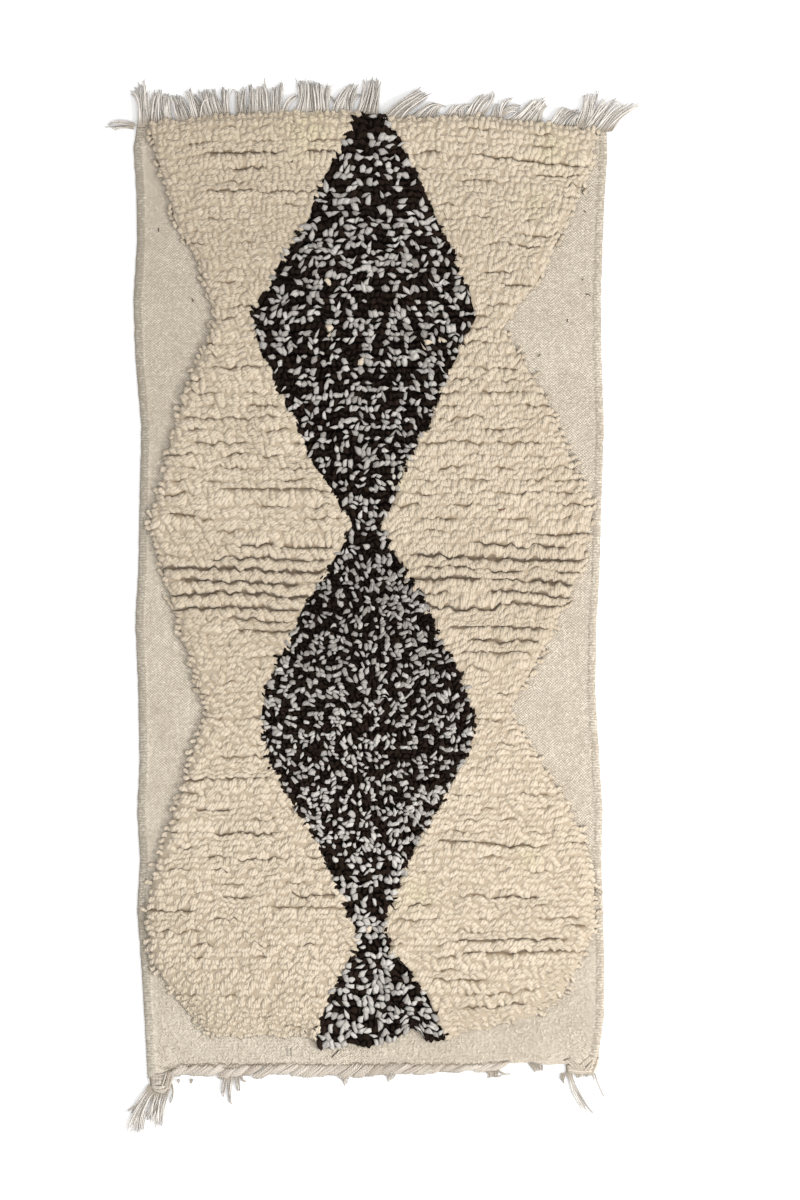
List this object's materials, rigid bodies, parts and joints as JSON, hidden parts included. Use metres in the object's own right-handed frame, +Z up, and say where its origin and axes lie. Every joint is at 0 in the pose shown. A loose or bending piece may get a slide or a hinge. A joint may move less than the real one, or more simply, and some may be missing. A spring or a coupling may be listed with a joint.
{
  "type": "beni ourain rug",
  "caption": "Small hand-knotted wool rug lying flat: shaggy cream pile, a dark speckled lozenge chain, bare woven wedges, a fringed head, and a plaited foot with corner tassels.",
  "frame": {"origin": "middle of the whole rug's underside, fringe and tassels included, on the floor", "axes": "+Z up off the floor, +Y along the rug from its plaited foot to its fringed head, +X across it to the right"},
  "size_m": [0.8534, 1.7214, 0.0173],
  "materials": {
    "ground_wool": "flat-woven undyed wool with a fine rib, matt",
    "cream_wool": "curly cream wool pile, matt",
    "black_wool": "black wool pile speckled with undyed white knots, matt",
    "white_wool": "undyed grey-white wool knots among the black ones, matt",
    "warp_yarn": "loose plied wool yarn, grey-white, matt"
  },
  "bodies": {
    "root": {"ground_weave": "ground_wool", "pile_cream_left": "cream_wool", "pile_cream_right": "cream_wool", "pile_lozenges": "black_wool", "fringe_top": "warp_yarn", "edge_plait_foot": "warp_yarn", "tassel_foot_left": "warp_yarn", "tassel_foot_right": "warp_yarn"}
  },
  "joints": []
}
